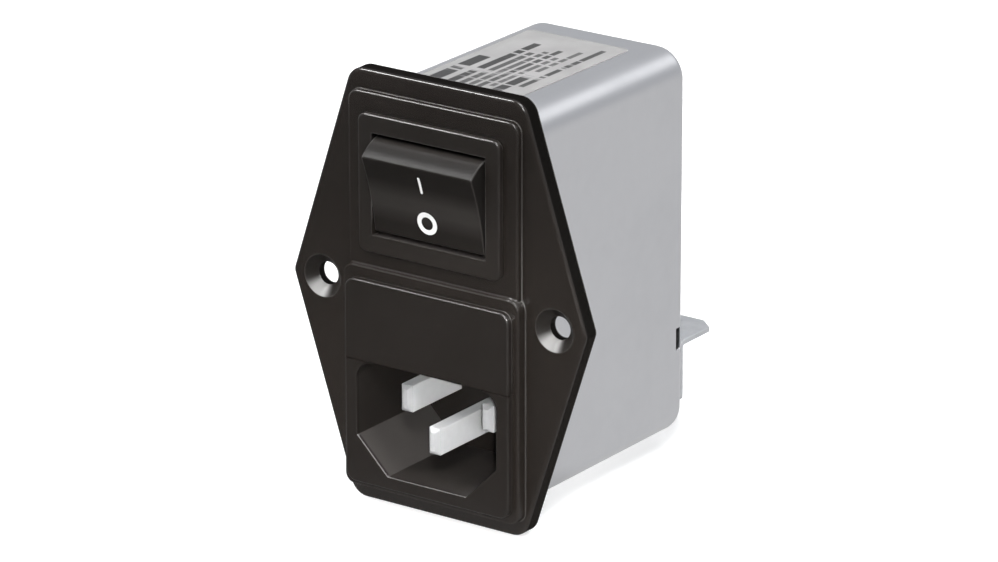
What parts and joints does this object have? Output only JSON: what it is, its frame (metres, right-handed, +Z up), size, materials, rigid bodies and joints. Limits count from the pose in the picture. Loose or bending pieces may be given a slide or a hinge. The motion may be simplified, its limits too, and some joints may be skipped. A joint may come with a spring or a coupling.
{
  "type": "power entry module",
  "caption": "Panel power entry module: six-sided black flange with rocker switch, fuse drawer and mains inlet, and a filter in a metal can behind it.",
  "frame": {"origin": "midway between the two screw holes, on the flange's rear face, which lies against the panel", "axes": "+X to the right seen from the front, +Y into the panel towards the can, +Z up, with the switch above the inlet"},
  "size_m": [0.0504, 0.056, 0.064],
  "materials": {
    "black_moulding": "satin moulded plastic",
    "inlet_moulding": "satin moulded plastic",
    "drawer_moulding": "satin moulded plastic",
    "switch_moulding": "satin moulded plastic",
    "rocker_moulding": "fine matt moulded plastic",
    "plated_can": "satin tin-plated sheet",
    "plated_pin": "nickel-plated brass, satin",
    "plated_tab": "tin-plated brass, satin",
    "spring_strip": "bare bronze strip",
    "steel_wire": "bright spring wire",
    "fuse_glass": "clear glass",
    "fuse_cap": "nickel-plated brass",
    "fuse_wire": "thin tinned wire",
    "insulator_moulding": "matt moulded plastic",
    "board_laminate": "green laminate",
    "ferrite": "dark coated ferrite",
    "enamelled_wire": "enamelled copper",
    "capacitor_case": "yellow moulded case",
    "disc_coating": "blue coated disc",
    "resistor_body": "beige coated body",
    "liner_sheet": "insulating sheet"
  },
  "bodies": {
    "module": {"choke_core": "ferrite", "circuit_board": "board_laminate", "discharge_resistor": "resistor_body", "earth_pin": "plated_pin", "earth_rivet": "plated_tab", "earth_strap": "plated_tab", "earth_tab": "plated_tab", "filter_capacitor": "capacitor_case", "front_flange": "black_moulding", "inlet_housing": "inlet_moulding", "insulating_liner": "liner_sheet", "left_board_link": "spring_strip", "left_choke_winding": "enamelled_wire", "left_front_fuse_contact": "spring_strip", "left_fuse_link": "spring_strip", "left_middle_terminal": "plated_tab", "left_outer_terminal": "plated_tab", "left_pin": "plated_pin", "left_rear_fuse_contact": "spring_strip", "lower_earth_capacitor": "disc_coating", "lower_load_tab": "plated_tab", "metal_can": "plated_can", "right_board_link": "spring_strip", "right_choke_winding": "enamelled_wire", "right_front_fuse_contact": "spring_strip", "right_fuse_link": "spring_strip", "right_middle_terminal": "plated_tab", "right_outer_terminal": "plated_tab", "right_pin": "plated_pin", "right_rear_fuse_contact": "spring_strip", "switch_body": "switch_moulding", "terminal_insulator": "insulator_moulding", "upper_earth_capacitor": "disc_coating", "upper_load_tab": "plated_tab"},
    "rocker": {"left_plunger": "plated_tab", "left_plunger_spring": "steel_wire", "right_plunger": "plated_tab", "right_plunger_spring": "steel_wire", "rocker": "rocker_moulding"},
    "left_lever": {"left_contact_lever": "spring_strip"},
    "right_lever": {"right_contact_lever": "spring_strip"},
    "fuse_tray": {"fuse_drawer": "drawer_moulding", "left_fuse_front_cap": "fuse_cap", "left_fuse_glass": "fuse_glass", "left_fuse_rear_cap": "fuse_cap", "left_fuse_wire": "fuse_wire", "right_fuse_front_cap": "fuse_cap", "right_fuse_glass": "fuse_glass", "right_fuse_rear_cap": "fuse_cap", "right_fuse_wire": "fuse_wire"}
  },
  "joints": [
    {"name": "rocker_swing", "type": "hinge", "parent": "module", "child": "rocker", "pos_m": [0, -0.0021, 0.01615], "axis": [1, 0, 0], "range_deg": [-30, 0]},
    {"name": "left_lever_swing", "type": "hinge", "parent": "module", "child": "left_lever", "pos_m": [-0.005, 0.0082, 0.01615], "axis": [1, 0, 0], "range_deg": [0, 16]},
    {"name": "right_lever_swing", "type": "hinge", "parent": "module", "child": "right_lever", "pos_m": [0.005, 0.0082, 0.01615], "axis": [1, 0, 0], "range_deg": [0, 16]},
    {"name": "fuse_drawer_slide", "type": "slide", "parent": "module", "child": "fuse_tray", "axis": [0, -1, 0], "range_m": [0, 0.024]}
  ],
  "couplings": [
    {"joint": "left_lever_swing", "follows": "rocker_swing", "ratio": -0.53333},
    {"joint": "right_lever_swing", "follows": "rocker_swing", "ratio": -0.53333}
  ]
}
